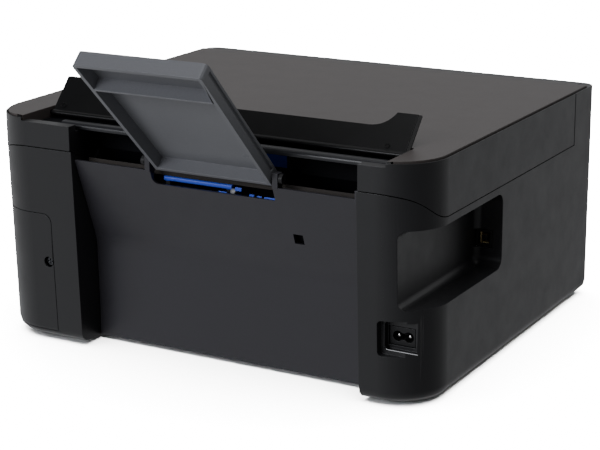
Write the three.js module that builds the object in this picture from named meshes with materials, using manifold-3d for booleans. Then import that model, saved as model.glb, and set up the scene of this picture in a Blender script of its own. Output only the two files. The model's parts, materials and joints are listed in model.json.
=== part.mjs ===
// A flatbed all-in-one inkjet printer with a rear paper feed, in millimetres.
// +Z is up, the front faces -Y and the rear +Y. The machine is modelled with its scanner bed
// about the origin (front face at -165, rear face at +161), and the whole group is shifted at the end so that
// the origin is the bottom centre of the machine with its paper support raised.
import * as THREE from 'three';
import { mergeVertices } from 'three/addons/utils/BufferGeometryUtils.js';
import Module from 'manifold-3d';

const wasm = await Module();
wasm.setup();

// ---------------------------------------------------------------- driving dimensions
const HALF_WIDTH = 187.5;
const FRONT_Y = -165;
const REAR_Y = 161;
const BODY_BOTTOM_Z = 3;
const SEAM_REAR_Z = 157.6;
const SEAM_SIDE_Z = 136.4;
const SEAM_FRONT_Y = -119;
const RIM_Z = 179;
const LID_TOP_Z = 180.5;
const LEDGE_Z = 176.7;
const CORNER_R = 39;
const CORNER_STEPS = 12;
const FRONT_CORNER_R = 11;
const FRONT_FOOT_R = 16;
const BOTTOM_EDGE_R = 9;
const CHEEK_X = 176;
const FOOT_TAPER = 5;
const WALL = 2.5;
const GAP = 0.4;
const SEAM_GAP = 0.6;

// centre rear panel, between the two rear pods
const PANEL_X = [-135.3, 107];
const PANEL_TOP_Z = 150.5;
const NOTCH_X = [-66.5, 38];
const NOTCH_Z = 139.8;
const EAR_WIDTH = 4.5;
const EAR_TOP_Z = 161;

// paper support, leaning back from its pivot in the ears
const SUPPORT_LEAN = THREE.MathUtils.degToRad(45);
const SUPPORT_X = [-65, 34];
const SUPPORT_FLARE = 3;
const SUPPORT_LENGTH = 133;
const SUPPORT_DEPTH = 12.3;
const SUPPORT_WALL = 3.2;
const SUPPORT_SKIN = 2.3;
const SUPPORT_RIB_Y = [102, 104];
const SUPPORT_FOOT = { y: 155, z: 151 };
const SUPPORT_PIVOT = { y: 153.9, z: 156.9 };

// feeder guard, standing open and leaning forward over the lid
const GUARD_AXIS = { y: 122, z: 176 };
const GUARD_OPEN_ANGLE = THREE.MathUtils.degToRad(132);

// lid
const LID_X = 185.4;
const LID_BOTTOM_Z = 172;
const LID_FRONT_Y = -147.9;
const LID_CUT = { x: [-157.5, 153.3], y: 115.3 };
const LID_AXIS = { y: 157, z: 178.9 };

// scanner bed
const BED_Z = 168;
const BED_UNDER_Z = 163.5;
const GLASS = { x: [-152, 148], y: [-113, 101], z: [165.7, 167.9] };

// paper feed
const HOPPER_TOP = { y: 138.5, z: 148.5 };
const PICKUP_AXIS = { y: 59.7, z: 102.3 };
const FEED_AXIS = { y: 22, z: 66 };
const EXIT_AXIS = { y: -95, z: 66 };
const MOTOR_AXIS = { y: 22, z: 44.6 };

// ---------------------------------------------------------------- materials
function finish(color, roughness, metalness = 0) {
  return new THREE.MeshStandardMaterial({ color, roughness, metalness });
}

const caseBlack = finish(0x232327, 0.55);
const panelBlack = finish(0x28282c, 0.6);
const lidGrey = finish(0x4a4744, 0.6);
const supportGrey = finish(0x50535a, 0.55);
const guardBlack = finish(0x17171a, 0.35);
const innerBlack = finish(0x101012, 0.7);
const glossBlack = finish(0x0c0c0e, 0.12);
const steel = finish(0xa9abae, 0.35, 1);
const rubber = finish(0x1b1b1b, 0.9);
const glass = finish(0xb7c4c4, 0.05);
const whiteFoam = finish(0xe9e9e6, 0.9);
const gearWhite = finish(0xd9d8d2, 0.5);
const boardGreen = finish(0x1f5a38, 0.6);
const guideBlue = finish(0x2450b4, 0.4);
const inkColours = { black: 0x1c1c1e, cyan: 0x1d8fc2, magenta: 0xc22a6b, yellow: 0xe2c01f };

// ---------------------------------------------------------------- solid helpers
function toSolid(geometry) {
  const bare = geometry.clone();
  bare.deleteAttribute('normal');
  bare.deleteAttribute('uv');
  const merged = mergeVertices(bare, 1e-4);
  const vertProperties = new Float32Array(merged.attributes.position.array);
  const triVerts = new Uint32Array(merged.index.array);
  return new wasm.Manifold(new wasm.Mesh({ numProp: 3, vertProperties, triVerts }));
}

function toGeometry(solid) {
  const mesh = solid.getMesh();
  const geometry = new THREE.BufferGeometry();
  geometry.setAttribute('position', new THREE.BufferAttribute(new Float32Array(mesh.vertProperties), 3));
  geometry.setIndex(new THREE.BufferAttribute(new Uint32Array(mesh.triVerts), 1));
  geometry.computeVertexNormals();
  return geometry;
}

const join = (...solids) => solids.reduce((sum, solid) => sum.add(solid));
const cut = (solid, ...tools) => tools.reduce((left, tool) => left.subtract(tool), solid);

function block(x, y, z) {
  const geometry = new THREE.BoxGeometry(x[1] - x[0], y[1] - y[0], z[1] - z[0]);
  geometry.translate((x[0] + x[1]) / 2, (y[0] + y[1]) / 2, (z[0] + z[1]) / 2);
  return toSolid(geometry);
}

// rods along the three axes; centre is given in the two other directions
function rodX(x, y, z, radius, sides = 24) {
  const geometry = new THREE.CylinderGeometry(radius, radius, x[1] - x[0], sides);
  geometry.rotateZ(-Math.PI / 2);
  geometry.translate((x[0] + x[1]) / 2, y, z);
  return toSolid(geometry);
}

function rodY(x, y, z, radius, sides = 24) {
  const geometry = new THREE.CylinderGeometry(radius, radius, y[1] - y[0], sides);
  geometry.translate(x, (y[0] + y[1]) / 2, z);
  return toSolid(geometry);
}

function rodZ(x, y, z, radius, sides = 24) {
  const geometry = new THREE.CylinderGeometry(radius, radius, z[1] - z[0], sides);
  geometry.rotateX(Math.PI / 2);
  geometry.translate(x, y, (z[0] + z[1]) / 2);
  return toSolid(geometry);
}

function polygon(points) {
  return new THREE.Shape(points.map(([a, b]) => new THREE.Vector2(a, b)));
}

// corner radii run anticlockwise from the low-low corner
function roundedRectangle(a, b, radii) {
  const [r0, r1, r2, r3] = radii;
  const shape = new THREE.Shape();
  shape.moveTo(a[0] + r0, b[0]);
  shape.lineTo(a[1] - r1, b[0]);
  if (r1) shape.absarc(a[1] - r1, b[0] + r1, r1, -Math.PI / 2, 0);
  shape.lineTo(a[1], b[1] - r2);
  if (r2) shape.absarc(a[1] - r2, b[1] - r2, r2, 0, Math.PI / 2);
  shape.lineTo(a[0] + r3, b[1]);
  if (r3) shape.absarc(a[0] + r3, b[1] - r3, r3, Math.PI / 2, Math.PI);
  shape.lineTo(a[0], b[0] + r0);
  if (r0) shape.absarc(a[0] + r0, b[0] + r0, r0, Math.PI, Math.PI * 1.5);
  return shape;
}

function extrude(shape, depth, curveSegments) {
  return new THREE.ExtrudeGeometry(shape, { depth, curveSegments, bevelEnabled: false });
}

const ALONG_X = new THREE.Matrix4().makeBasis(
  new THREE.Vector3(0, 1, 0), new THREE.Vector3(0, 0, 1), new THREE.Vector3(1, 0, 0));

// a shape drawn in (Y, Z) and run along X
function alongX(x, shape, curveSegments = 4) {
  const geometry = extrude(shape, x[1] - x[0], curveSegments);
  geometry.applyMatrix4(ALONG_X);
  geometry.translate(x[0], 0, 0);
  return toSolid(geometry);
}

// a shape drawn in (X, Z) and run along Y
function alongY(y, shape, curveSegments = 4) {
  const geometry = extrude(shape, y[1] - y[0], curveSegments);
  const axes = new THREE.Matrix4().makeBasis(
    new THREE.Vector3(1, 0, 0), new THREE.Vector3(0, 0, 1), new THREE.Vector3(0, -1, 0));
  geometry.applyMatrix4(axes);
  geometry.translate(0, y[1], 0);
  return toSolid(geometry);
}

// a shape drawn in (X, Y) and run along Z
function alongZ(z, shape, curveSegments = 6) {
  const geometry = extrude(shape, z[1] - z[0], curveSegments);
  geometry.translate(0, 0, z[0]);
  return toSolid(geometry);
}

function gearOutline(teeth, module, clocking) {
  const pitch = teeth * module / 2;
  const step = Math.PI * 2 / teeth;
  const points = [];
  for (let tooth = 0; tooth < teeth; tooth += 1) {
    const middle = tooth * step + clocking;
    const flank = [[-0.25, -1.25], [-0.12, 0.8], [0.12, 0.8], [0.25, -1.25]];
    for (const [across, height] of flank) {
      const radius = pitch + height * module;
      const angle = middle + across * step * 0.8;
      points.push([radius * Math.cos(angle), radius * Math.sin(angle)]);
    }
  }
  return polygon(points);
}

function gear(x, axis, teeth, module, clocking) {
  return alongX(x, gearOutline(teeth, module, clocking)).translate([0, axis.y, axis.z]);
}

// ---------------------------------------------------------------- the body's outer form
// plan of the body, square at the front and rounded at the two rear corners
function bodyPlan(inset, frontY) {
  const radius = CORNER_R - inset;
  const half = HALF_WIDTH - inset;
  return roundedRectangle([-half, half], [frontY, REAR_Y - inset], [0, 0, radius, radius]);
}

// the rear face leans in towards the foot
function leanRear(geometry) {
  const position = geometry.attributes.position;
  for (let i = 0; i < position.count; i += 1) {
    const below = (SEAM_REAR_Z - position.getZ(i)) / (SEAM_REAR_Z - BODY_BOTTOM_Z);
    const share = THREE.MathUtils.clamp(below, 0, 1);
    const y = position.getY(i);
    if (y > 0) position.setY(i, y * (1 - share * FOOT_TAPER / REAR_Y));
  }
  return geometry;
}

// the lower body as a full solid with a rounded bottom edge, up to the rear seam
function bodyForm(inset) {
  const edge = BOTTOM_EDGE_R - inset;
  const low = BODY_BOTTOM_Z + inset + edge;
  const geometry = new THREE.ExtrudeGeometry(bodyPlan(inset, -200), {
    depth: SEAM_REAR_Z - low, bevelThickness: edge, bevelSize: edge, bevelOffset: -edge,
    bevelSegments: 3, curveSegments: CORNER_STEPS,
  });
  geometry.translate(0, 0, low);
  return toSolid(leanRear(geometry));
}

// everything under the S-shaped seam between lower case and scanner housing
function underSeam(lift) {
  const shape = new THREE.Shape();
  shape.moveTo(-220, -10);
  shape.lineTo(220, -10);
  shape.lineTo(220, SEAM_REAR_Z + lift);
  shape.lineTo(REAR_Y + 1, SEAM_REAR_Z + lift);
  shape.bezierCurveTo(156, 154.8 + lift, 151, 153.5 + lift, 143, 146.6 + lift);
  shape.bezierCurveTo(134, 139 + lift, 130, SEAM_SIDE_Z + lift, 118, SEAM_SIDE_Z + lift);
  shape.lineTo(-220, SEAM_SIDE_Z + lift);
  return alongX([-200, 200], shape, 8);
}

const bodyOuter = bodyForm(0);
const bodyInner = bodyForm(WALL);

// ---------------------------------------------------------------- lower case
const POD_WALL_Y = [124, 170];
const PANEL_FOOT_Y = 129.2;
const BAY = { x: -165, y: 25.5, z: [73, 131], radius: 8, fillet: 6 };
const INLET_RECESS = { x: [-183, -150.5], z: [38.7, 65], floorY: 151.2 };
const INLET_WELL = { x: [-183, -153.4], z: [42, 63.4], floorY: 146 };
const INLET_FACE = { x: [-174.6, -154.6], z: [45.2, 58.6] };
const USB = { x: [-179, -165.8], z: [87.2, 100.4] };
const SCREW = { x: 135, z: 66 };
const COVER = { x: 130, y: 95, z: [9, 105], radius: 7 };

// the corner that the maintenance cover fills, made smaller by inset
function coverRegion(inset) {
  const x = [COVER.x + inset, 200];
  const z = [COVER.z[0] + inset, COVER.z[1] - inset];
  return alongY([COVER.y + inset, 170], roundedRectangle(x, z, [0, 0, 0, COVER.radius]));
}

// the bay's space, rounded where its floor, ceiling and end meet its inner wall
function bayForm() {
  const shape = roundedRectangle([BAY.y, 220], BAY.z, [BAY.radius, 0, 0, BAY.radius]);
  const depth = 30;
  const geometry = new THREE.ExtrudeGeometry(shape, {
    depth, bevelThickness: BAY.fillet, bevelSize: BAY.fillet, bevelOffset: -BAY.fillet,
    bevelSegments: 4, curveSegments: 4,
  });
  geometry.applyMatrix4(ALONG_X);
  geometry.translate(BAY.x - BAY.fillet - depth, 0, 0);
  return toSolid(geometry);
}

// front edge of the machine, rounded at its corners and at its foot
function frontForm(inset) {
  const edge = BOTTOM_EDGE_R - inset;
  const half = HALF_WIDTH - inset;
  const radius = FRONT_CORNER_R - inset;
  const plan = roundedRectangle([-half, half], [FRONT_Y + inset, -60], [radius, radius, 0, 0]);
  const geometry = new THREE.ExtrudeGeometry(plan, {
    depth: 200, bevelThickness: edge, bevelSize: edge, bevelOffset: -edge,
    bevelSegments: 3, curveSegments: 4,
  });
  geometry.translate(0, 0, BODY_BOTTOM_Z + inset + edge);
  const profile = roundedRectangle([FRONT_Y + inset, 0], [BODY_BOTTOM_Z + inset, 260],
    [FRONT_FOOT_R - inset, 0, 0, 0]);
  return toSolid(geometry).intersect(alongX([-200, 200], profile, 6));
}

// the front of the machine as one shell; its ends belong to the lower case
function frontShell(rearY) {
  const outer = frontForm(0).intersect(block([-200, 200], [FRONT_Y - 5, rearY], [0, RIM_Z]));
  const inner = frontForm(WALL).intersect(block([-200, 200], [FRONT_Y - 5, 0], [0, BED_Z - WALL]));
  const lidRecess = block([-LID_X - GAP, LID_X + GAP], [LID_FRONT_Y - GAP, 0], [BED_Z, 200]);
  return cut(outer, inner, lidRecess);
}

function lowerCase() {
  const shell = cut(bodyOuter, bodyInner);
  const [panelLow, panelHigh] = PANEL_X;
  const podWalls = join(
    block([panelHigh, panelHigh + WALL], POD_WALL_Y, [4, 160]),
    block([panelLow - WALL, panelLow], POD_WALL_Y, [4, 160]),
    block([panelHigh + 1, 140], [143, 152.6], [61, 71]),
    block([-190, BAY.x + WALL], [BAY.y - WALL, 170], [BAY.z[0] - WALL, BAY.z[1] + WALL]),
    block([-184, -148], [134, 170], [36, 67.5]),
  ).intersect(bodyOuter);
  const inletOpenings = [INLET_RECESS, INLET_WELL].map(({ x, z, floorY }) => (
    alongY([floorY, 180], roundedRectangle(x, z, [3, 3, 3, 3]))));
  const solid = cut(
    join(shell, podWalls),
    block([panelLow, panelHigh], [PANEL_FOOT_Y, 180], [-5, 170]),
    bayForm(),
    ...inletOpenings,
    block([INLET_FACE.x[0] - GAP, INLET_FACE.x[1] + GAP], [120, 150],
      [INLET_FACE.z[0] - GAP, INLET_FACE.z[1] + GAP]),
    block([USB.x[0] - GAP, USB.x[1] + GAP], [20, 32], [USB.z[0] - GAP, USB.z[1] + GAP]),
    coverRegion(0),
    rodY(SCREW.x, [142, 160], SCREW.z, 1.9, 16),
  );
  const behindFront = block([-200, 200], [SEAM_FRONT_Y, 200], [-5, 200]);
  const main = solid.intersect(behindFront).intersect(underSeam(0));
  const ends = cut(
    frontShell(SEAM_FRONT_Y + 0.5),
    block([-CHEEK_X, CHEEK_X], [FRONT_Y - 5, 0], [-5, 200]),
    block([-200, 200], [SEAM_FRONT_Y, 0], [SEAM_SIDE_Z - 0.5, 200]),
  );
  return join(main, ends);
}

function maintenanceCover() {
  const skin = cut(bodyOuter, bodyInner).intersect(coverRegion(0.35));
  return cut(skin, rodY(SCREW.x, [150, 165], SCREW.z, 4.2));
}

function coverScrew() {
  const head = rodY(SCREW.x, [153, 155.6], SCREW.z, 3.4);
  const shank = rodY(SCREW.x, [143, 153.5], SCREW.z, 1.6, 16);
  const crossA = block([SCREW.x - 2.2, SCREW.x + 2.2], [154.4, 157], [SCREW.z - 0.4, SCREW.z + 0.4]);
  const crossB = block([SCREW.x - 0.4, SCREW.x + 0.4], [154.4, 157], [SCREW.z - 2.2, SCREW.z + 2.2]);
  return cut(join(head, shank), crossA, crossB);
}

// ---------------------------------------------------------------- centre rear panel
function rearCover() {
  const shape = new THREE.Shape();
  shape.moveTo(157.2, PANEL_TOP_Z);
  shape.lineTo(135.3, 89);
  shape.quadraticCurveTo(133, 82.4, 132.9, 76);
  shape.lineTo(132, 32);
  shape.lineTo(132.4, 3.6);
  shape.lineTo(129.7, 3.6);
  shape.lineTo(129.4, 32);
  shape.lineTo(130.3, 76);
  shape.quadraticCurveTo(130.3, 82.4, 132.6, 89);
  shape.lineTo(154.4, PANEL_TOP_Z);
  const x = [PANEL_X[0] + 0.3, PANEL_X[1] - 0.3];
  const sheet = alongX(x, shape, 6);
  const [notchLow, notchHigh] = NOTCH_X;
  const notch = alongY([100, 180], roundedRectangle(NOTCH_X, [NOTCH_Z, 170], [0.8, 5, 0, 0]));
  const squareHole = block([-83.7, -75.9], [120, 170], [106.4, 114]);
  const tab = block([x[0], x[0] + 2.7], [150.5, 157.2], [148, 156.4]);
  const ears = [[notchHigh, notchHigh + EAR_WIDTH], [notchLow - EAR_WIDTH, notchLow]].map((earX) => {
    const foot = alongX(earX, polygon([[150.2, 150], [151.6, 143], [154.2, 143], [156.9, 150]]));
    const top = block(earX, [150.2, 157.6], [149.5, EAR_TOP_Z]);
    const pivotBore = rodX([earX[0] - 1, earX[1] + 1], SUPPORT_PIVOT.y, SUPPORT_PIVOT.z, 2.1, 20);
    return cut(join(foot, top), pivotBore);
  });
  return join(cut(sheet, notch, squareHole), tab, ...ears);
}

// ---------------------------------------------------------------- front frame and its panel
const OUTPUT_SLOT = { x: [-132, 102], z: [20, 78] };
const PANEL_SLOT = { x: [-95, 65], z: [91.6, 150.6] };

function frontFrame() {
  const middle = block([GAP - CHEEK_X, CHEEK_X - GAP], [FRONT_Y - 5, 0], [0, 200]);
  return cut(
    frontShell(SEAM_FRONT_Y - GAP).intersect(middle),
    block(OUTPUT_SLOT.x, [FRONT_Y - 5, FRONT_Y + 11], OUTPUT_SLOT.z),
    block(PANEL_SLOT.x, [FRONT_Y - 5, FRONT_Y + 11], PANEL_SLOT.z),
  );
}

const DISPLAY = { x: [-45, 15], z: [103, 140] };
const BUTTONS = { power_button: { x: 45, z: 129 }, start_button: { x: 45, z: 109 } };
const BUTTON_R = 6;

function controlPanel() {
  const body = block([-94.4, 64.4], [FRONT_Y + 0.2, FRONT_Y + 9], [92.5, 149.7]);
  const displayPocket = block([DISPLAY.x[0] - GAP, DISPLAY.x[1] + GAP], [FRONT_Y - 4, FRONT_Y + 2.6],
    [DISPLAY.z[0] - GAP, DISPLAY.z[1] + GAP]);
  const buttonPockets = Object.values(BUTTONS).map(({ x, z }) => (
    rodY(x, [FRONT_Y - 4, FRONT_Y + 7], z, BUTTON_R + GAP)));
  return cut(body, displayPocket, ...buttonPockets);
}

// ---------------------------------------------------------------- output tray, in three stages
const STOP_AXIS = { y: FRONT_Y + 7.6, z: 30.4 };

function outputTray() {
  const floor = block([-125, 95], [FRONT_Y + 2.4, -12], [23, 26]);
  const lip = block([-125, 95], [FRONT_Y + 0.2, FRONT_Y + 3], [20.6, 36]);
  const rails = [-124, 91].map((x) => block([x, x + 3], [FRONT_Y + 2.8, -12], [25.5, 30]));
  const gripCut = block([-71.5, 41.5], [FRONT_Y - 4, FRONT_Y + 11], [26, 40]);
  return cut(join(floor, lip, ...rails), gripCut);
}

function trayExtension() {
  const plate = block([-70, 40], [FRONT_Y + 4.2, -30], [26.4, 28.4]);
  const hinge = [[-42, -38], [8, 12]].map((x) => block(x, [FRONT_Y + 4.2, FRONT_Y + 11], [28, 32.4]));
  const holes = rodX([-50, 20], STOP_AXIS.y, STOP_AXIS.z, 1.3, 16);
  return cut(join(plate, ...hinge), holes);
}

function trayStop() {
  const flap = block([-37.6, 7.6], [STOP_AXIS.y - 1.6, -112], [29.4, 31.4]);
  const pin = rodX([-41.5, 11.5], STOP_AXIS.y, STOP_AXIS.z, 1, 16);
  return join(flap, pin);
}

// ---------------------------------------------------------------- scanner housing
const CAVITY_REAR_Y = 103;
const RIM_THICKNESS = 1.1;
const FEED_MOUTH = { x: [-136.3, 108], y: 118.6 };
const KEEP_X = [-157.2, 153];

function scannerHousing() {
  const lowerPlan = extrude(bodyPlan(0, SEAM_FRONT_Y + 1), SEAM_REAR_Z - 130, CORNER_STEPS);
  lowerPlan.translate(0, 0, 130);
  const lower = toSolid(leanRear(lowerPlan));
  const upper = alongZ([SEAM_REAR_Z, RIM_Z], bodyPlan(0, SEAM_FRONT_Y + 1), CORNER_STEPS);
  const form = cut(join(lower, upper), underSeam(SEAM_GAP));
  const mouth = block(FEED_MOUTH.x, [FEED_MOUTH.y, 200], [100, 200]);
  const mouthChamfer = alongX(FEED_MOUTH.x, polygon([[106, 136], [121, 136], [121, 155]]));
  const lidRecess = alongZ([BED_Z, 200], bodyPlan(RIM_THICKNESS, -200), CORNER_STEPS);
  const recessKeep = block(KEEP_X, [LID_CUT.y + GAP, 200], [150, 200]);
  const guardSeat = block(KEEP_X, [LID_CUT.y, 152], [171.7, 200]);
  const ledgeTop = block(KEEP_X, [151, 200], [LEDGE_Z, 200]);
  const glassWell = block([GLASS.x[0] - GAP, GLASS.x[1] + GAP], [GLASS.y[0] - GAP, GLASS.y[1] + GAP],
    [GLASS.z[0] - GAP, 200]);
  const glassWindow = block([GLASS.x[0] + 3, GLASS.x[1] - 3], [GLASS.y[0] + 3, GLASS.y[1] - 3],
    [150, 200]);
  const scanSpace = block([-181, 181], [SEAM_FRONT_Y + 4, CAVITY_REAR_Y], [SEAM_SIDE_Z + 3.1, BED_UNDER_Z]);
  const podSpaces = [[FEED_MOUTH.x[1] + WALL, 170], [-170, FEED_MOUTH.x[0] - WALL]].map((x) => (
    cut(block(x, [CAVITY_REAR_Y - 1, 146], [130, BED_UNDER_Z]), underSeam(3.1))));
  return cut(form, mouth, mouthChamfer, cut(lidRecess, recessKeep), guardSeat, ledgeTop, glassWell,
    glassWindow, scanSpace, ...podSpaces);
}

// bar across the paper mouth, lying on the guard's seat at both ends
function crossRail() {
  return alongX([-154, 125], roundedRectangle([140.8, 148.4], [172.2, 177], [0.5, 0.5, 3.4, 1.5]), 6);
}

function scanBar() {
  const bar = block([-172, -156], [-108, 98], [148, 162.6]);
  const saddle = block([-172, -156], [-12, 2], [141.5, 148.5]);
  return cut(join(bar, saddle), rodX([-180, -150], -5, 145, 3.4));
}

// ---------------------------------------------------------------- lid and its hinges
const HINGES_X = [[154.5, 158.5], [-160.6, -157.6]];

function documentCover() {
  const form = alongZ([LID_BOTTOM_Z, LID_TOP_Z], bodyPlan(HALF_WIDTH - LID_X, LID_FRONT_Y), CORNER_STEPS);
  const cutout = block(LID_CUT.x, [LID_CUT.y, 200], [160, 200]);
  const rearChamfer = alongX([-200, 200], polygon([[156.4, 181], [161, 176.4], [170, 181]]));
  const underside = block([-180, 180], [LID_FRONT_Y + 4, 108], [160, LID_TOP_Z - WALL]);
  const hingePockets = HINGES_X.map((x) => (
    block([x[0] - 0.6, x[1] + 0.6], [150, 175], [160, LID_AXIS.z + 1])));
  const guardBores = [[150, 157], [-161.4, -154]].map((x) => rodX(x, GUARD_AXIS.y, GUARD_AXIS.z, 1.8, 20));
  return cut(form, cutout, rearChamfer, underside, ...hingePockets, ...guardBores);
}

function lidHinge(x) {
  const pin = rodX(x, LID_AXIS.y, LID_AXIS.z, 0.8, 16);
  const leg = block([x[0] + 0.7, x[1] - 0.7], [LID_AXIS.y - 0.7, LID_AXIS.y + 0.7], [BED_Z + 0.3, LID_AXIS.z]);
  return join(pin, leg);
}

// ---------------------------------------------------------------- feeder guard
// drawn lying closed along +Y from its axis, then turned up to its open rest
const GUARD = {
  x: [-156, 152],
  horn: 33,
  middle: 21,
  hornInner: [-137, 126],
  curveEnd: [-118, 107],
  thickness: 2.4,
};

function feederGuard() {
  const [low, high] = GUARD.x;
  const shape = new THREE.Shape();
  shape.moveTo(low, 0);
  shape.lineTo(high, 0);
  shape.lineTo(high, GUARD.horn);
  shape.lineTo(GUARD.hornInner[1], GUARD.horn);
  shape.quadraticCurveTo(GUARD.hornInner[1] - 5.5, GUARD.middle, GUARD.curveEnd[1], GUARD.middle);
  shape.lineTo(GUARD.curveEnd[0], GUARD.middle);
  shape.quadraticCurveTo(GUARD.hornInner[0] + 5.5, GUARD.middle, GUARD.hornInner[0], GUARD.horn);
  shape.lineTo(low, GUARD.horn);
  const plate = alongZ([-GUARD.thickness / 2, GUARD.thickness / 2], shape, 8);
  const barrel = rodX(GUARD.x, 0, 0, 2.2);
  const pin = rodX([low - 4.4, high + 4.4], 0, 0, 1.5, 20);
  const endSteps = [[low - 1, low + 2.4], [high - 2.4, high + 1]].map((x) => (
    block(x, [3, GUARD.horn + 1], [-3, 0.6 - GUARD.thickness / 2])));
  return join(cut(plate, ...endSteps), barrel, pin);
}

// ---------------------------------------------------------------- paper support
// drawn lying along +Y from its foot with its open side down, then leaned back
// outline of the support inset all round, flaring from its foot to its rounded top
function supportOutline(inset, from, to, radius) {
  const [low, high] = SUPPORT_X;
  const reach = (y) => SUPPORT_FLARE * y / SUPPORT_LENGTH;
  const shape = new THREE.Shape();
  shape.moveTo(low - reach(from) + inset, from);
  shape.lineTo(high + reach(from) - inset, from);
  shape.lineTo(high + reach(to - radius) - inset, to - radius);
  shape.quadraticCurveTo(high + reach(to) - inset, to, high + reach(to) - inset - radius, to);
  shape.lineTo(low - reach(to) + inset + radius, to);
  shape.quadraticCurveTo(low - reach(to) + inset, to, low - reach(to - radius) + inset, to - radius);
  return shape;
}

function paperSupport() {
  const body = alongZ([0, SUPPORT_DEPTH], supportOutline(0, 0, SUPPORT_LENGTH, 4), 3);
  const wall = SUPPORT_WALL;
  const [ribLow, ribHigh] = SUPPORT_RIB_Y;
  const pockets = [[wall, ribLow], [ribHigh, SUPPORT_LENGTH - wall]].map(([from, to]) => (
    alongZ([-1, SUPPORT_DEPTH - SUPPORT_SKIN], supportOutline(wall, from, to, 1), 3)));
  const core = alongZ([6, 12], supportOutline(1.3, -1, SUPPORT_LENGTH + 1, 4));
  const grooves = cut(block([-100, 100], [8, 127], [7, 10.2]), core);
  return cut(body, ...pockets, grooves);
}

function supportPin(side) {
  const inner = side > 0 ? SUPPORT_X[1] : SUPPORT_X[0];
  const ear = side > 0 ? NOTCH_X[1] : NOTCH_X[0];
  const span = [inner + side * 0.3, ear + side * (EAR_WIDTH + 1)].sort((a, b) => a - b);
  const head = [ear + side * (EAR_WIDTH + 0.4), ear + side * (EAR_WIDTH + 3.4)].sort((a, b) => a - b);
  const { y, z } = SUPPORT_PIVOT;
  return join(rodX(span, y, z, 1.8, 20), rodX(head, y, z, 3.8));
}

// ---------------------------------------------------------------- sheet feeder
const onHopper = (solid) => solid.rotate([45, 0, 0]).translate([0, HOPPER_TOP.y, HOPPER_TOP.z]);

function feederFrame() {
  const profile = polygon([[66, 68], [126, 68], [128, 84], [146.5, 137.5], [133.5, 137.5]]);
  return alongX([-134, 106], profile);
}

// blue strip that stands on the frame behind the notch in the rear panel
const FEED_GUIDE = { x: [-25.5, 33.5], y: [142.6, 145.8], z: [137.8, 144.4] };

function feedGuide() {
  const { x, y, z } = FEED_GUIDE;
  const strip = alongX(x, roundedRectangle(y, [z[1] - 3.4, z[1]], [1.2, 1.2, 1.2, 1.2]));
  const legs = [[x[0] + 1, x[0] + 5], [x[1] - 5, x[1] - 1]].map((legX) => (
    block(legX, [y[0] + 0.5, y[1] - 0.8], [z[0], z[1] - 2])));
  return join(strip, ...legs);
}

const HOPPER_X = [-134.6, 106.4];

// the hopper lies down the feed slope from its top edge, so its own Y runs downhill as negative
function hopperPlate() {
  const plate = block(HOPPER_X, [-97.5, 0], [-2.4, 0]);
  const knuckle = rodX(HOPPER_X, -1.2, -1.2, 2);
  return onHopper(join(plate, knuckle));
}

function edgeGuide(x, side) {
  const fence = block(x, [-60, -4], [0.4, 12]);
  const footX = side > 0 ? [x[0] - 6, x[1]] : [x[0], x[1] + 6];
  const foot = block(footX, [-46, -20], [0.4, 1.8]);
  return onHopper(join(fence, foot));
}

function pulley(x, axis, radius) {
  return rodX(x, axis.y, axis.z, radius, 20);
}

const BELT_X = [-137.2, -132.6];

function rollerShaft(axis, radius, reach) {
  const sleeve = rodX([-128, 108], axis.y, axis.z, radius, 20);
  const shaft = rodX([-143, reach], axis.y, axis.z, 2.5, 16);
  return join(sleeve, shaft, pulley([BELT_X[0] + 0.4, BELT_X[1] - 0.4], axis, 8));
}

// a flat belt round two equal pulleys, as a stadium ring
function stadium(from, to, radius) {
  const shape = new THREE.Shape();
  shape.moveTo(from[0], from[1] - radius);
  shape.lineTo(to[0], to[1] - radius);
  shape.absarc(to[0], to[1], radius, -Math.PI / 2, Math.PI / 2);
  shape.lineTo(from[0], from[1] + radius);
  shape.absarc(from[0], from[1], radius, Math.PI / 2, Math.PI * 1.5);
  return shape;
}

function driveBelt() {
  const ends = [[EXIT_AXIS.y, EXIT_AXIS.z], [FEED_AXIS.y, FEED_AXIS.z]];
  const outer = alongX(BELT_X, stadium(...ends, 9.6), 5);
  const inner = alongX([BELT_X[0] - 1, BELT_X[1] + 1], stadium(...ends, 8.4), 5);
  return cut(outer, inner);
}

// ---------------------------------------------------------------- chassis and print carriage
const CHEEKS_X = [[-142, -140], [120, 122]];

function chassis() {
  const base = block([CHEEKS_X[0][0], CHEEKS_X[1][1]], [-110, 62], [6, 8]);
  const cheeks = CHEEKS_X.map((x) => block(x, [-110, 62], [7, 73]));
  const shaftHoles = [FEED_AXIS, EXIT_AXIS].map(({ y, z }) => rodX([-150, 130], y, z, 2.9, 16));
  const motorHole = rodX([115, 125], MOTOR_AXIS.y, MOTOR_AXIS.z, 4, 16);
  return cut(join(base, ...cheeks), ...shaftHoles, motorHole);
}

function platen() {
  const bed = block([-126, 92], [-84, 10], [54, 66]);
  const ribs = Array.from({ length: 11 }, (_, i) => (
    block([-118 + i * 20, -116.5 + i * 20], [-80, 6], [65, 68])));
  return join(bed, ...ribs);
}

const PULLEY_R = 6;
const PULLEYS_X = [-160, 160];
const CARRIAGE_BELT_Z = 112;
const CARRIAGE_X = [78, 152];

function carriageRail() {
  const web = block([-172, 172], [12.4, 14.4], [76, 134]);
  const flange = block([-172, 172], [-4, 13], [76, 78]);
  const gearNotch = block([110, 120], [-10, 20], [70, 84]);
  const shafts = PULLEYS_X.map((x) => rodY(x, [10, 20], CARRIAGE_BELT_Z, 2.6, 16));
  return cut(join(web, flange), gearNotch, ...shafts);
}

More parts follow.
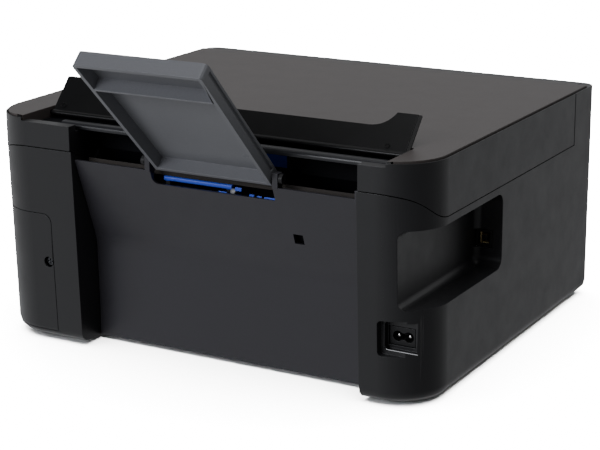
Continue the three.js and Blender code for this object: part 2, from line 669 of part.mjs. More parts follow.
function carriage() {
  const [low, high] = CARRIAGE_X;
  const body = block([low, high], [-54, 7.6], [79, 120]);
  const slots = Array.from({ length: 4 }, (_, i) => (
    block([low + 2.5 + i * 17.5, low + 18.5 + i * 17.5], [-50, 2], [90, 130])));
  const head = block([low + 10, high - 10], [-44, -10], [73, 80]);
  const clamp = block([108, 122], [7, 8.2], [CARRIAGE_BELT_Z - 8, CARRIAGE_BELT_Z - 4]);
  return join(cut(body, ...slots), head, clamp);
}

function cartridge(index) {
  const x = CARRIAGE_X[0] + 3 + index * 17.5;
  const tank = block([x, x + 15], [-49.5, 1.5], [90.4, 124]);
  const tab = block([x + 4, x + 11], [-49.5, -44], [123, 131]);
  return join(tank, tab);
}

function carriageBelt() {
  const ends = PULLEYS_X.map((x) => [x, CARRIAGE_BELT_Z]);
  const outer = alongY([8.7, 11.8], stadium(...ends, PULLEY_R + 1.6), 4);
  const inner = alongY([8, 13], stadium(...ends, PULLEY_R + 0.4), 4);
  return cut(outer, inner);
}

function beltPulley(x, shaftEnd) {
  const wheel = rodY(x, [8.9, 11.6], CARRIAGE_BELT_Z, PULLEY_R, 20);
  return join(wheel, rodY(x, [11, shaftEnd], CARRIAGE_BELT_Z, 2.2, 16));
}

function motor(x, axis) {
  return rodX(x, axis.y, axis.z, 13);
}

// ---------------------------------------------------------------- ports
function powerInlet() {
  const { x, z } = INLET_FACE;
  const pinX = [-160.9, -169.5];
  const pinZ = 51.7;
  const body = block(x, [122, 145.6], z);
  const mouth = join(
    ...pinX.map((px) => rodY(px, [132, 150], pinZ, 3.8, 20)),
    block([pinX[1], pinX[0]], [132, 150], [pinZ - 2.4, pinZ + 2.4]),
  );
  const pins = pinX.map((px) => rodY(px, [131, 143], pinZ, 1.2, 12));
  return join(cut(body, mouth), ...pins);
}

function usbPort() {
  const { x, z } = USB;
  const shell = block(x, [14.6, 24.9], z);
  const mouth = block([x[0] + 2, x[1] - 2], [16.6, 30], [z[0] + 2, z[1] - 2]);
  const tongue = block([x[0] + 4.4, x[1] - 4.4], [16, 23.5], [z[0] + 4.6, z[1] - 4.6]);
  return join(cut(shell, mouth), tongue);
}

function mainBoard() {
  const board = block([-182.4, -180.8], [-108, 12], [24, 118]);
  const chips = [[-60, 80, 24], [-15, 60, 16], [-80, 45, 14]].map(([y, z, size]) => (
    block([-181, -178.6], [y, y + size], [z, z + size])));
  return join(board, ...chips);
}

// ---------------------------------------------------------------- assembly
const printer = new THREE.Group();

function add(name, solid, material, parent = printer) {
  const mesh = new THREE.Mesh(toGeometry(solid), material);
  mesh.name = name;
  parent.add(mesh);
}

add('lower_case', lowerCase(), caseBlack);
add('rear_cover', rearCover(), panelBlack);
add('maintenance_cover', maintenanceCover(), caseBlack);
add('cover_screw', coverScrew(), steel);
add('maintenance_box', block([122, 172], [97, 138], [10, 58]), innerBlack);
add('front_frame', frontFrame(), caseBlack);
add('control_panel', controlPanel(), caseBlack);
add('display', block(DISPLAY.x, [FRONT_Y + 0.4, FRONT_Y + 2.2], DISPLAY.z), glossBlack);
for (const [name, { x, z }] of Object.entries(BUTTONS)) {
  add(name, rodY(x, [FRONT_Y + 0.1, FRONT_Y + 5], z, BUTTON_R), supportGrey);
}
add('output_tray', outputTray(), caseBlack);
add('tray_extension', trayExtension(), caseBlack);
add('tray_stop', trayStop(), caseBlack);

add('scanner_housing', scannerHousing(), caseBlack);
add('scan_glass', block(GLASS.x, GLASS.y, GLASS.z), glass);
add('scan_bar', scanBar(), innerBlack);
add('scan_rail', rodX([-180, 180], -5, 145, 3), steel);
add('cross_rail', crossRail(), glossBlack);
add('document_cover', documentCover(), lidGrey);
add('lid_pad', block([-150, 146], [-111, 99], [168.6, 177.6]), whiteFoam);
add('lid_hinge_left', lidHinge(HINGES_X[0]), innerBlack);
add('lid_hinge_right', lidHinge(HINGES_X[1]), innerBlack);

const guardPlace = new THREE.Group();
guardPlace.position.set(0, GUARD_AXIS.y, GUARD_AXIS.z);
guardPlace.rotation.x = GUARD_OPEN_ANGLE;
printer.add(guardPlace);
add('feeder_guard', feederGuard(), guardBlack, guardPlace);

const supportPlace = new THREE.Group();
supportPlace.position.set(0, SUPPORT_FOOT.y, SUPPORT_FOOT.z);
supportPlace.rotation.x = Math.PI / 2 - SUPPORT_LEAN;
printer.add(supportPlace);
add('paper_support', paperSupport(), supportGrey, supportPlace);
add('support_pin_left', supportPin(1), innerBlack);
add('support_pin_right', supportPin(-1), innerBlack);

add('feeder_frame', feederFrame(), innerBlack);
add('feed_guide', feedGuide(), guideBlue);
add('hopper_plate', hopperPlate(), innerBlack);
add('edge_guide_left', edgeGuide([103.6, 106], 1), innerBlack);
add('edge_guide_right', edgeGuide([-134.2, -131.8], -1), innerBlack);
add('pickup_shaft', rodX([-128, 104], PICKUP_AXIS.y, PICKUP_AXIS.z, 3, 20), steel);
const tyreX = [-30, 0];
const tyre = rodX(tyreX, PICKUP_AXIS.y, PICKUP_AXIS.z, 15);
add('pickup_roller', cut(tyre, rodX([-31, 1], PICKUP_AXIS.y, PICKUP_AXIS.z, 3.3, 20)), rubber);
add('feed_roller', rollerShaft(FEED_AXIS, 6, 111.6), steel);
add('exit_roller', rollerShaft(EXIT_AXIS, 5, 123), rubber);
add('drive_belt', driveBelt(), rubber);

const FEED_TEETH = 30;
const PINION_TEETH = 12;
const TOOTH_MODULE = 1;
add('feed_gear', gear([112, 118], FEED_AXIS, FEED_TEETH, TOOTH_MODULE, -Math.PI / 2), gearWhite);
const pinionClocking = Math.PI / 2 + Math.PI / PINION_TEETH;
const pinion = gear([112, 118], MOTOR_AXIS, PINION_TEETH, TOOTH_MODULE, pinionClocking);
add('motor_pinion', join(pinion, rodX([117, 123.4], MOTOR_AXIS.y, MOTOR_AXIS.z, 2, 16)), gearWhite);
add('feed_motor', motor([124, 150], MOTOR_AXIS), steel);

add('chassis', chassis(), steel);
add('platen', platen(), innerBlack);
add('cap_station', block([96, 118], [-50, -2], [56, 72]), innerBlack);
add('carriage_rail', carriageRail(), steel);
add('carriage', carriage(), innerBlack);
Object.entries(inkColours).forEach(([name, colour], index) => {
  add(`cartridge_${name}`, cartridge(index), finish(colour, 0.4));
});
add('carriage_belt', carriageBelt(), rubber);
add('idler_pulley', beltPulley(PULLEYS_X[0], 16), gearWhite);
add('drive_pulley', beltPulley(PULLEYS_X[1], 17), gearWhite);
add('carriage_motor', rodY(PULLEYS_X[1], [17.6, 42], CARRIAGE_BELT_Z, 13), steel);

add('power_inlet', powerInlet(), innerBlack);
add('usb_port', usbPort(), innerBlack);
add('power_supply', block([-182, -146], [44, 118], [8, 62]), innerBlack);
add('main_board', mainBoard(), boardGreen);
for (const [side, x] of [['left', 150], ['right', -150]]) {
  add(`foot_front_${side}`, rodZ(x, -135, [0, 2.7], 8), rubber);
  add(`foot_rear_${side}`, rodZ(x, 118, [0, 2.7], 8), rubber);
}

// the origin is the bottom centre of the box round the machine and its raised paper support
const REACH_Y = SUPPORT_FOOT.y + SUPPORT_LENGTH * Math.sin(SUPPORT_LEAN);
printer.position.y = -(FRONT_Y + REACH_Y) / 2;

export default printer;
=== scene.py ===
import json
import math

import bmesh
import bpy
from mathutils import Matrix, Vector


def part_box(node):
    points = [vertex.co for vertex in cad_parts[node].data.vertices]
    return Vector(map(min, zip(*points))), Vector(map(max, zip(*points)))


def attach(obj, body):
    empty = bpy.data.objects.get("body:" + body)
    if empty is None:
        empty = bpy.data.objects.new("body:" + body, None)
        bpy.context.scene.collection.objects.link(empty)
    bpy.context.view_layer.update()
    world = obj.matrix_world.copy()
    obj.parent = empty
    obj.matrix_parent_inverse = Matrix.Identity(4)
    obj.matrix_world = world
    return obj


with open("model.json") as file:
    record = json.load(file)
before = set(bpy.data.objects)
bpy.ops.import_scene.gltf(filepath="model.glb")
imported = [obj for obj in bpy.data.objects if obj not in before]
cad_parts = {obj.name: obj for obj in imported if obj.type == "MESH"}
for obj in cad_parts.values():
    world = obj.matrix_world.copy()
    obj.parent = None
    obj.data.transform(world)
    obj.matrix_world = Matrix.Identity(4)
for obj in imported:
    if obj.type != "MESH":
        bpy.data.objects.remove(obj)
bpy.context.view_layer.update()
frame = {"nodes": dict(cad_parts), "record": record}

MM = 0.001


# ---------------------------------------------------------------- camera
CAMERA_PLACE = (-0.67727, 1.14829, 0.46782)
CAMERA_AZIMUTH = math.radians(209.66)
CAMERA_ELEVATION = math.radians(16.04)
CAMERA_ROLL = math.radians(-0.4)
CAMERA_LENS = 105.2
SENSOR_WIDTH = 36


def place_camera():
    """A long lens behind the printer and a little above it, turned by a slight roll."""
    level = math.cos(CAMERA_ELEVATION)
    back = Vector((math.sin(CAMERA_AZIMUTH) * level, -math.cos(CAMERA_AZIMUTH) * level,
                   math.sin(CAMERA_ELEVATION)))
    right = Vector((math.cos(CAMERA_AZIMUTH), math.sin(CAMERA_AZIMUTH), 0))
    up = back.cross(right)
    rolled_right = right * math.cos(CAMERA_ROLL) + up * math.sin(CAMERA_ROLL)
    rolled_up = up * math.cos(CAMERA_ROLL) - right * math.sin(CAMERA_ROLL)
    turn = Matrix((rolled_right, rolled_up, back)).transposed()
    data = bpy.data.cameras.new("camera")
    data.lens = CAMERA_LENS
    data.sensor_width = SENSOR_WIDTH
    data.clip_start = 0.05
    data.clip_end = 60
    camera = bpy.data.objects.new("camera", data)
    camera.matrix_world = Matrix.Translation(CAMERA_PLACE) @ turn.to_4x4()
    bpy.context.scene.collection.objects.link(camera)
    bpy.context.scene.camera = camera


place_camera()


# ---------------------------------------------------------------- materials
class Shader:
    """A small builder for node materials: a method adds nodes and returns the socket with their result."""

    def __init__(self, name):
        self.material = bpy.data.materials.new(name)
        self.material.use_nodes = True
        self.tree = self.material.node_tree
        self.tree.nodes.clear()
        self.output = self.tree.nodes.new("ShaderNodeOutputMaterial")
        self.surface = self.tree.nodes.new("ShaderNodeBsdfPrincipled")
        self.tree.links.new(self.surface.outputs[0], self.output.inputs[0])
        self.coordinates = self.tree.nodes.new("ShaderNodeTexCoord")

    def plug(self, socket, value):
        """Links a socket to value, or sets it where value is a plain number or colour."""
        if hasattr(value, "is_output"):
            self.tree.links.new(value, socket)
        else:
            socket.default_value = value

    def node(self, kind, inputs, **settings):
        node = self.tree.nodes.new(kind)
        for key, value in settings.items():
            setattr(node, key, value)
        for key, value in inputs.items():
            self.plug(node.inputs[key], value)
        return node

    def stretched(self, scale):
        inputs = {"Vector": self.coordinates.outputs["Object"], "Scale": scale}
        return self.node("ShaderNodeMapping", inputs).outputs[0]

    def noise(self, scale, detail=2.0, roughness=0.5, vector=None):
        inputs = {"Vector": vector or self.coordinates.outputs["Object"], "Scale": scale, "Detail": detail,
                  "Roughness": roughness}
        return self.node("ShaderNodeTexNoise", inputs).outputs[0]

    def cells(self, scale):
        inputs = {"Vector": self.coordinates.outputs["Object"], "Scale": scale}
        return self.node("ShaderNodeTexVoronoi", inputs).outputs[0]

    def spread(self, value, low, high, out_low, out_high):
        """The range low to high of value, clamped and spread over out_low to out_high."""
        inputs = {"Value": value, "From Min": low, "From Max": high, "To Min": out_low, "To Max": out_high}
        return self.node("ShaderNodeMapRange", inputs).outputs[0]

    def maths(self, operation, a, b):
        return self.node("ShaderNodeMath", {0: a, 1: b}, operation=operation).outputs[0]

    def mix(self, factor, a, b):
        """Colour a where factor is 0 and colour b where it is 1."""
        mixer = self.node("ShaderNodeMix", {}, data_type="RGBA")
        self.plug(mixer.inputs[0], factor)
        self.plug(mixer.inputs[6], a)
        self.plug(mixer.inputs[7], b)
        return mixer.outputs[2]

    def clouds(self, pattern, low=0.3, high=0.7):
        """0 in the hollows of a noise pattern and 1 on its hills."""
        return self.spread(pattern, low, high, 0.0, 1.0)

    def bump(self, height, distance):
        inputs = {"Height": height, "Distance": distance, "Strength": 1.0}
        return self.node("ShaderNodeBump", inputs).outputs[0]

    def finish(self, colour, roughness, normal):
        """Plugs the three patterns that every opaque look has."""
        self.plug(self.surface.inputs["Base Color"], colour)
        self.plug(self.surface.inputs["Roughness"], roughness)
        self.plug(self.surface.inputs["Normal"], normal)

    def up_facing(self):
        """1 on faces that look up, 0 on upright ones."""
        return self.node("ShaderNodeSeparateXYZ", {0: self.coordinates.outputs["Normal"]}).outputs[2]

    def within(self, low, high):
        """1 inside the box from low to high, in the row frame, and 0 outside it."""
        place = self.node("ShaderNodeSeparateXYZ", {0: self.coordinates.outputs["Object"]}).outputs
        inside = 1.0
        for axis in range(3):
            above = self.maths("GREATER_THAN", place[axis], low[axis])
            below = self.maths("LESS_THAN", place[axis], high[axis])
            inside = self.maths("MULTIPLY", self.maths("MULTIPLY", above, below), inside)
        return inside

    def edges(self, radius):
        """1 on the outer edges of the piece and 0 on its faces, from how far a rounded normal turns there."""
        rounded = self.node("ShaderNodeBevel", {"Radius": radius}, samples=4).outputs[0]
        geometry = self.node("ShaderNodeNewGeometry", {})
        same = self.node("ShaderNodeVectorMath", {0: rounded, 1: geometry.outputs["Normal"]},
                         operation="DOT_PRODUCT").outputs["Value"]
        on_face, on_edge = 0.985, 0.82
        return self.spread(same, on_face, on_edge, 0.0, 1.0)


def rgb(red, green, blue):
    """A colour given as display values 0 to 255."""
    def linear(value):
        value /= 255
        return value / 12.92 if value <= 0.04045 else ((value + 0.055) / 1.055) ** 2.4
    return (linear(red), linear(green), linear(blue), 1.0)


def scaled(colour, factor):
    """A colour made lighter or darker by factor."""
    return (min(1, colour[0] * factor), min(1, colour[1] * factor), min(1, colour[2] * factor), 1.0)


DUST = rgb(150, 146, 140)
# painted shade: the near black painted where a part lies deep in shadow
PAINTED_SHADE_BLACK = rgb(10, 11, 15)
EDGE_WEAR_AND_HIGHLIGHT_RADIUS = 0.7 * MM


def plastic(name, colour, roughness, grain=1400.0, depth=0.00004, variation=0.05, wear_and_highlight=0.25, dust=0.05,
            specular=0.5, coat=0.0, painted_shade_boxes=()):
    """Moulded plastic: fine spark grain, faint flow marks, bright edges that are partly real wear and partly
    painted highlight, a little dust on top.

    Inside each of the given boxes the plastic is painted nearly black and rough: painted shade for parts that
    lie deep in shadow."""
    s = Shader(name)
    flow = s.noise(7.0, detail=3.0, roughness=0.6)
    patches = s.noise(55.0, detail=4.0, roughness=0.6)
    scratches = s.noise(90.0, detail=6.0, roughness=0.7, vector=s.stretched((1.0, 14.0, 9.0)))
    fine = s.noise(grain, detail=2.0, roughness=0.5)
    pits = s.cells(grain * 0.6)
    base = s.mix(s.clouds(flow), scaled(colour, 1 - variation), scaled(colour, 1 + variation))
    base = s.mix(s.spread(fine, 0.35, 0.75, 0.0, 0.35), base, scaled(colour, 1.5))
    # bright edges: partly real wear, partly painted highlight on edges that would catch the light
    if wear_and_highlight:
        rubbed_and_lit_edges = s.maths("MULTIPLY", s.edges(EDGE_WEAR_AND_HIGHLIGHT_RADIUS), s.spread(patches, 0.45, 0.62, 0.15, 1.0))
        base = s.mix(s.maths("MULTIPLY", rubbed_and_lit_edges, wear_and_highlight), base, scaled(colour, 3.2))
    if dust:
        lying = s.spread(s.up_facing(), 0.55, 1.0, 0.0, 1.0)
        specks = s.clouds(s.noise(420.0, detail=5.0, roughness=0.75), 0.56, 0.72)
        base = s.mix(s.maths("MULTIPLY", s.maths("MULTIPLY", lying, specks), dust), base, DUST)
    rough = s.spread(patches, 0.3, 0.7, roughness - 0.8 * variation, roughness + 0.8 * variation)
    rough = s.maths("ADD", rough, s.spread(scratches, 0.6, 0.75, 0.0, 0.07))
    height = s.maths("ADD", s.maths("MULTIPLY", fine, 0.7), s.maths("MULTIPLY", pits, 0.3))
    # painted shade: inside each box the colour is pushed to near black and the surface made rough
    for low, high in painted_shade_boxes:
        inside = s.within(low, high)
        base = s.mix(inside, base, PAINTED_SHADE_BLACK)
        rough = s.maths("MAXIMUM", rough, s.maths("MULTIPLY", inside, 0.85))
    s.finish(base, rough, s.bump(height, depth))
    s.surface.inputs["Specular IOR Level"].default_value = specular
    s.surface.inputs["IOR"].default_value = 1.5
    if coat:
        s.surface.inputs["Coat Weight"].default_value = coat
        s.surface.inputs["Coat Roughness"].default_value = 0.12
    return s.material


def metal(name, colour, roughness):
    """Rolled or turned metal with fine drawn lines and a few dull spots."""
    s = Shader(name)
    lines = s.noise(240.0, detail=5.0, roughness=0.7, vector=s.stretched((1.0, 25.0, 25.0)))
    spots = s.noise(70.0, detail=4.0, roughness=0.6)
    base = s.mix(s.clouds(spots, 0.35), colour, scaled(colour, 0.72))
    rough = s.maths("ADD", s.spread(lines, 0.3, 0.7, roughness - 0.08, roughness + 0.08),
                    s.spread(spots, 0.55, 0.7, 0.0, 0.12))
    s.finish(base, rough, s.bump(lines, 0.00003))
    s.surface.inputs["Metallic"].default_value = 1.0
    return s.material


def rubber(name, colour, roughness):
    """Dull rubber with fine grain and paler smudges."""
    s = Shader(name)
    fine = s.noise(2200.0, detail=3.0, roughness=0.6)
    smudge = s.noise(60.0, detail=4.0, roughness=0.65)
    base = s.mix(s.clouds(smudge, 0.4), colour, scaled(colour, 1.6))
    rough = s.spread(smudge, 0.3, 0.7, roughness - 0.05, roughness + 0.06)
    s.finish(base, rough, s.bump(fine, 0.00008))
    return s.material


def glass(name):
    """Clear glass with faint smears."""
    s = Shader(name)
    smear = s.noise(22.0, detail=4.0, roughness=0.6)
    s.plug(s.surface.inputs["Roughness"], s.spread(smear, 0.35, 0.75, 0.02, 0.09))
    s.surface.inputs["Base Color"].default_value = (0.86, 0.93, 0.9, 1)
    s.surface.inputs["Transmission Weight"].default_value = 1.0
    s.surface.inputs["IOR"].default_value = 1.5
    return s.material


def foam(name, colour):
    """Pale foam with open pores."""
    s = Shader(name)
    pores = s.cells(900.0)
    cloud = s.noise(30.0, detail=3.0, roughness=0.6)
    base = s.mix(s.clouds(cloud), colour, scaled(colour, 0.85))
    s.finish(base, s.spread(pores, 0.0, 0.6, 0.75, 0.95), s.bump(pores, 0.0003))
    return s.material


def board(name):
    """Green circuit board with paler traces."""
    s = Shader(name)
    traces = s.noise(260.0, detail=2.0, roughness=0.3, vector=s.stretched((1.0, 6.0, 1.0)))
    base = s.mix(s.clouds(traces, 0.5, 0.53), rgb(18, 74, 44), rgb(34, 104, 62))
    s.finish(base, s.spread(traces, 0.4, 0.6, 0.3, 0.42), s.bump(traces, 0.00005))
    return s.material


def guide_legs_box():
    """The part of the blue feed guide below its strip, which is painted over with shade."""
    low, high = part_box("feed_guide")
    margin, strip = MM, 3.6 * MM
    return ((low.x - margin, low.y - margin, low.z - margin),
            (high.x + margin, high.y + margin, high.z - strip))


LOOKS = {
    "case": plastic("case_moulding", rgb(29, 29, 31), 0.4, wear_and_highlight=0.4),
    # shade: nearly black and barely glossy, painted shade for parts that lie deep in the mouth's shadow
    "shade": plastic("painted_shade_black", rgb(9, 10, 14), 0.7, wear_and_highlight=0.0, dust=0.0, specular=0.12),
    # the rear panel's edges are strongly lightened: painted highlight along them
    "rear": plastic("rear_moulding", rgb(46, 45, 50), 0.42, wear_and_highlight=0.9),
    "lid": plastic("lid_moulding", rgb(69, 63, 61), 0.46, grain=1100.0, depth=0.00006, variation=0.012),
    "support": plastic("support_moulding", rgb(106, 107, 111), 0.42, grain=1500.0, variation=0.02),
    "guard": plastic("guard_moulding", rgb(12, 12, 13), 0.32, depth=0.00001, variation=0.03, dust=0.0,
                     specular=0.3),
    "rail": plastic("rail_moulding", rgb(26, 27, 31), 0.32, depth=0.000002, variation=0.01, wear_and_highlight=0.0,
                    dust=0.0),
    # hopper: the warm grey-brown of a lit band, painted light on the hopper's upper edge
    "hopper": plastic("hopper_painted_light", rgb(52, 47, 43), 0.7, wear_and_highlight=0.0),
    # the edge guides' edges are fully lightened: painted highlight, while their faces stay dark
    "guide": plastic("guide_moulding", rgb(20, 20, 21), 0.35, wear_and_highlight=1.0),
    # the feed guide's legs below its strip are painted nearly black: painted shade
    "blue": plastic("blue_moulding", rgb(58, 92, 214), 0.3, depth=0.00001, wear_and_highlight=0.0, dust=0.0,
                    painted_shade_boxes=[guide_legs_box()]),
    "inner": plastic("inner_moulding", rgb(22, 22, 24), 0.45, specular=0.35),
    "gloss": plastic("gloss_moulding", rgb(18, 18, 20), 0.12, depth=0.000004, coat=0.6, wear_and_highlight=0.0),
    "gold": metal("gold_contact", rgb(255, 232, 176), 0.6),
    "pin": metal("polished_pin", rgb(222, 220, 218), 0.16),
    # a dark blue painted reflection of the feed guide's blue light, used on a sheet in the mouth
    "painted_blue_reflection": plastic("painted_blue_reflection_sheet", rgb(14, 46, 128), 0.6, wear_and_highlight=0.0, dust=0.0, specular=0.1),
    "knob": plastic("knob_acetal", rgb(128, 130, 133), 0.35, depth=0.00001, wear_and_highlight=0.0, dust=0.0),
    "steel": metal("rolled_steel", rgb(178, 180, 182), 0.3),
    "black_steel": metal("blackened_steel", rgb(84, 85, 88), 0.32),
    "rubber": rubber("roller_rubber", rgb(30, 30, 31), 0.75),
    "glass": glass("scan_glass_sheet"),
    "foam": foam("lid_foam", rgb(226, 224, 218)),
    "gear": plastic("gear_acetal", rgb(226, 224, 214), 0.4, depth=0.00002, wear_and_highlight=0.0),
    "board": board("circuit_board"),
    "ink_black": plastic("cartridge_black_plastic", rgb(30, 30, 32), 0.3, wear_and_highlight=0.1),
    "ink_cyan": plastic("cartridge_cyan_plastic", rgb(20, 130, 170), 0.3, wear_and_highlight=0.1),
    "ink_magenta": plastic("cartridge_magenta_plastic", rgb(170, 30, 90), 0.3, wear_and_highlight=0.1),
    "ink_yellow": plastic("cartridge_yellow_plastic", rgb(220, 180, 30), 0.3, wear_and_highlight=0.1),
}

# the look of each material slot, and of the nodes that differ from their slot
SLOT_LOOKS = {
    "case_black": "case", "panel_black": "rear", "lid_grey": "lid", "support_grey": "support",
    "guard_black": "guard", "inner_black": "inner", "gloss_black": "gloss", "steel": "steel",
    "rubber": "rubber", "glass": "glass", "foam": "foam", "gear_white": "gear", "board_green": "board",
    "guide_blue": "blue", "ink_black": "ink_black", "ink_cyan": "ink_cyan", "ink_magenta": "ink_magenta",
    "ink_yellow": "ink_yellow",
}
# hopper_plate and feeder_frame take the shade look: painted shade inside the mouth
NODE_LOOKS = {
    "cross_rail": "rail", "hopper_plate": "shade", "feeder_frame": "shade", "edge_guide_left": "guide",
    "edge_guide_right": "guide", "cover_screw": "black_steel",
}


# ---------------------------------------------------------------- carried-over CAD nodes
EDGE_ROUNDING = 0.35 * MM
OTHER_ROUNDING = {"tray_stop": 0.0}     # its pins turn close inside the extension's ears
WELD_DISTANCE = 0.01 * MM
FLAT_ANGLE = math.radians(0.3)
SMOOTH_ANGLE = math.radians(30)
ROUNDED_ANGLE = math.radians(31)


def smooth_group():
    """Smooth shading everywhere but across edges sharper than SMOOTH_ANGLE."""
    tree = bpy.data.node_groups.new("smooth_by_angle", "GeometryNodeTree")
    tree.interface.new_socket("Geometry", in_out="INPUT", socket_type="NodeSocketGeometry")
    tree.interface.new_socket("Geometry", in_out="OUTPUT", socket_type="NodeSocketGeometry")
    start = tree.nodes.new("NodeGroupInput")
    end = tree.nodes.new("NodeGroupOutput")
    angle = tree.nodes.new("GeometryNodeInputMeshEdgeAngle")
    sharp = tree.nodes.new("FunctionNodeCompare")
    sharp.data_type = "FLOAT"
    sharp.operation = "GREATER_THAN"
    sharp.inputs[1].default_value = SMOOTH_ANGLE
    faces = tree.nodes.new("GeometryNodeSetShadeSmooth")
    faces.domain = "FACE"
    edges = tree.nodes.new("GeometryNodeSetShadeSmooth")
    edges.domain = "EDGE"
    edges.inputs["Shade Smooth"].default_value = False
    tree.links.new(start.outputs[0], faces.inputs["Geometry"])
    tree.links.new(faces.outputs[0], edges.inputs["Geometry"])
    tree.links.new(angle.outputs[0], sharp.inputs[0])
    tree.links.new(sharp.outputs[0], edges.inputs["Selection"])
    tree.links.new(edges.outputs[0], end.inputs[0])
    return tree


SMOOTH = smooth_group()


def soften(obj, width, weld=True):
    """Rounds the sharp edges of a piece and shades its curves smooth."""
    if weld:
        merge = obj.modifiers.new("weld", "WELD")
        merge.merge_threshold = WELD_DISTANCE
        flat = obj.modifiers.new("flat", "DECIMATE")
        flat.decimate_type = "DISSOLVE"
        flat.angle_limit = FLAT_ANGLE
    if width:
        rounding = obj.modifiers.new("rounding", "BEVEL")
        rounding.width = width
        rounding.segments = 2
        rounding.limit_method = "ANGLE"
        rounding.angle_limit = ROUNDED_ANGLE
        rounding.use_clamp_overlap = False
    shade = obj.modifiers.new("shade", "NODES")
    shade.node_group = SMOOTH
    even = obj.modifiers.new("even", "WEIGHTED_NORMAL")
    even.keep_sharp = True


def finish_cad_nodes():
    """Gives every node of the CAD model its look and softens its edges."""
    slots = {part["node"]: part["material_slot"] for part in frame["record"]["subparts"]}
    for name, obj in frame["nodes"].items():
        obj.data.materials.clear()
        obj.data.materials.append(LOOKS[NODE_LOOKS.get(name, SLOT_LOOKS[slots[name]])])
        soften(obj, OTHER_ROUNDING.get(name, EDGE_ROUNDING))


finish_cad_nodes()


# ---------------------------------------------------------------- small pieces
def add_piece(name, body, look, build, rounding=0.0):
    """One more piece: build fills a bmesh in the row frame."""
    mesh = bpy.data.meshes.new(name)
    bm = bmesh.new()
    build(bm)
    bmesh.ops.recalc_face_normals(bm, faces=bm.faces)
    bm.to_mesh(mesh)
    bm.free()
    mesh.materials.append(LOOKS[look])
    piece = bpy.data.objects.new(name, mesh)
    bpy.context.scene.collection.objects.link(piece)
    soften(piece, rounding, weld=False)
    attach(piece, body)


def add_prism(bm, bottom, top):
    """A closed solid between two outlines with the same number of corners."""
    bottom = [bm.verts.new(corner) for corner in bottom]
    top = [bm.verts.new(corner) for corner in top]
    bm.faces.new(reversed(bottom))
    bm.faces.new(top)
    for i in range(len(bottom)):
        j = (i + 1) % len(bottom)
        bm.faces.new((bottom[i], bottom[j], top[j], top[i]))


def add_block(bm, low, high):
    """A block from its low corner to its high corner."""
    plan = ((low[0], low[1]), (high[0], low[1]), (high[0], high[1]), (low[0], high[1]))
    add_prism(bm, [(x, y, low[2]) for x, y in plan], [(x, y, high[2]) for x, y in plan])


def add_turned(bm, place, profile, sides=24):
    """A closed turned shape: profile lists (radius, height) from one end on the axis to the other."""
    rings = []
    for radius, height in profile:
        if radius == 0:
            rings.append([bm.verts.new(place @ Vector((0, 0, height)))])
            continue
        turn = [2 * math.pi * i / sides for i in range(sides)]
        rings.append([bm.verts.new(place @ Vector((radius * math.cos(a), radius * math.sin(a), height)))
                      for a in turn])
    for first, second in zip(rings, rings[1:]):
        for i in range(sides):
            j = (i + 1) % sides
            quad = (first[i % len(first)], first[j % len(first)],
                    second[j % len(second)], second[i % len(second)])
            bm.faces.new(tuple(dict.fromkeys(quad)))


def add_ring(bm, place, radius, thickness, sides=28, around=10):
    """A closed ring, round in section."""
    rings = []
    for i in range(sides):
        angle = 2 * math.pi * i / sides
        ring = []
        for j in range(around):
            turn = 2 * math.pi * j / around
            reach = radius + thickness * math.cos(turn)
            point = Vector((reach * math.cos(angle), reach * math.sin(angle), thickness * math.sin(turn)))
            ring.append(bm.verts.new(place @ point))
        rings.append(ring)
    for i in range(sides):
        for j in range(around):
            first, second = rings[i], rings[(i + 1) % sides]
            k = (j + 1) % around
            bm.faces.new((first[j], second[j], second[k], first[k]))


def facing(place, normal):
    """A frame at place whose own Z is normal."""
    return Matrix.Translation(place) @ Vector(normal).to_track_quat("Z", "Y").to_matrix().to_4x4()


def add_bead(bm, points, thickness, around=8):
    """A round bead with closed ends along points that lie in one X-Z plane."""
    rings = []
    last = len(points) - 1
    for i, point in enumerate(points):
        along = (points[min(i + 1, last)] - points[max(i - 1, 0)]).normalized()
        across = along.cross(Vector((0, 1, 0)))
        ring = []
        for j in range(around):
            turn = 2 * math.pi * j / around
            offset = across * math.cos(turn) + Vector((0, 1, 0)) * math.sin(turn)
            ring.append(bm.verts.new(point + offset * thickness))
        rings.append(ring)
    for first, second in zip(rings, rings[1:]):
        for j in range(around):
            k = (j + 1) % around
            bm.faces.new((first[j], first[k], second[k], second[j]))
    bm.faces.new(reversed(rings[0]))
    bm.faces.new(rings[-1])


def build_inlet_trim():
    """The polished bead along the lower step of the inlet's recess, turning up at its inner end."""
    low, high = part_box("power_inlet")
    step_y = high.y + 5.3 * MM
    turn_x = high.x - 1.6 * MM
    end_x = low.x - 4.6 * MM
    turn_radius, turn_steps = 3 * MM, 6
    thickness = 0.55 * MM
    points = []
    for step in range(turn_steps + 1):
        angle = math.radians(-90 * step / turn_steps)
        points.append(Vector((turn_x + turn_radius * math.cos(angle), step_y,
                              low.z + turn_radius * math.sin(angle))))
    points.append(Vector((end_x, step_y, low.z - turn_radius)))
    add_piece("inlet_trim", "base", "gloss", lambda bm: add_bead(bm, points, thickness))


def build_inlet_pins():
    """Polished sleeves with domed tips over the two pins of the inlet."""
    low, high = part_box("power_inlet")
    pins_x = (low.x + 5.1 * MM, low.x + 13.7 * MM)
    pins_y, pins_z = high.y - 2.6 * MM, low.z + 6.5 * MM
    radius, length = 1.35 * MM, 6 * MM
    profile = [(0, -length), (radius, -length), (radius, 0.1 * MM), (radius - 0.2 * MM, 0.6 * MM),
               (radius - 0.7 * MM, 0.95 * MM), (0, 1.05 * MM)]

    def build(bm):
        for x in pins_x:
            add_turned(bm, facing(Vector((x, pins_y, pins_z)), (0, 1, 0)), profile)
    add_piece("inlet_pins", "base", "pin", build)


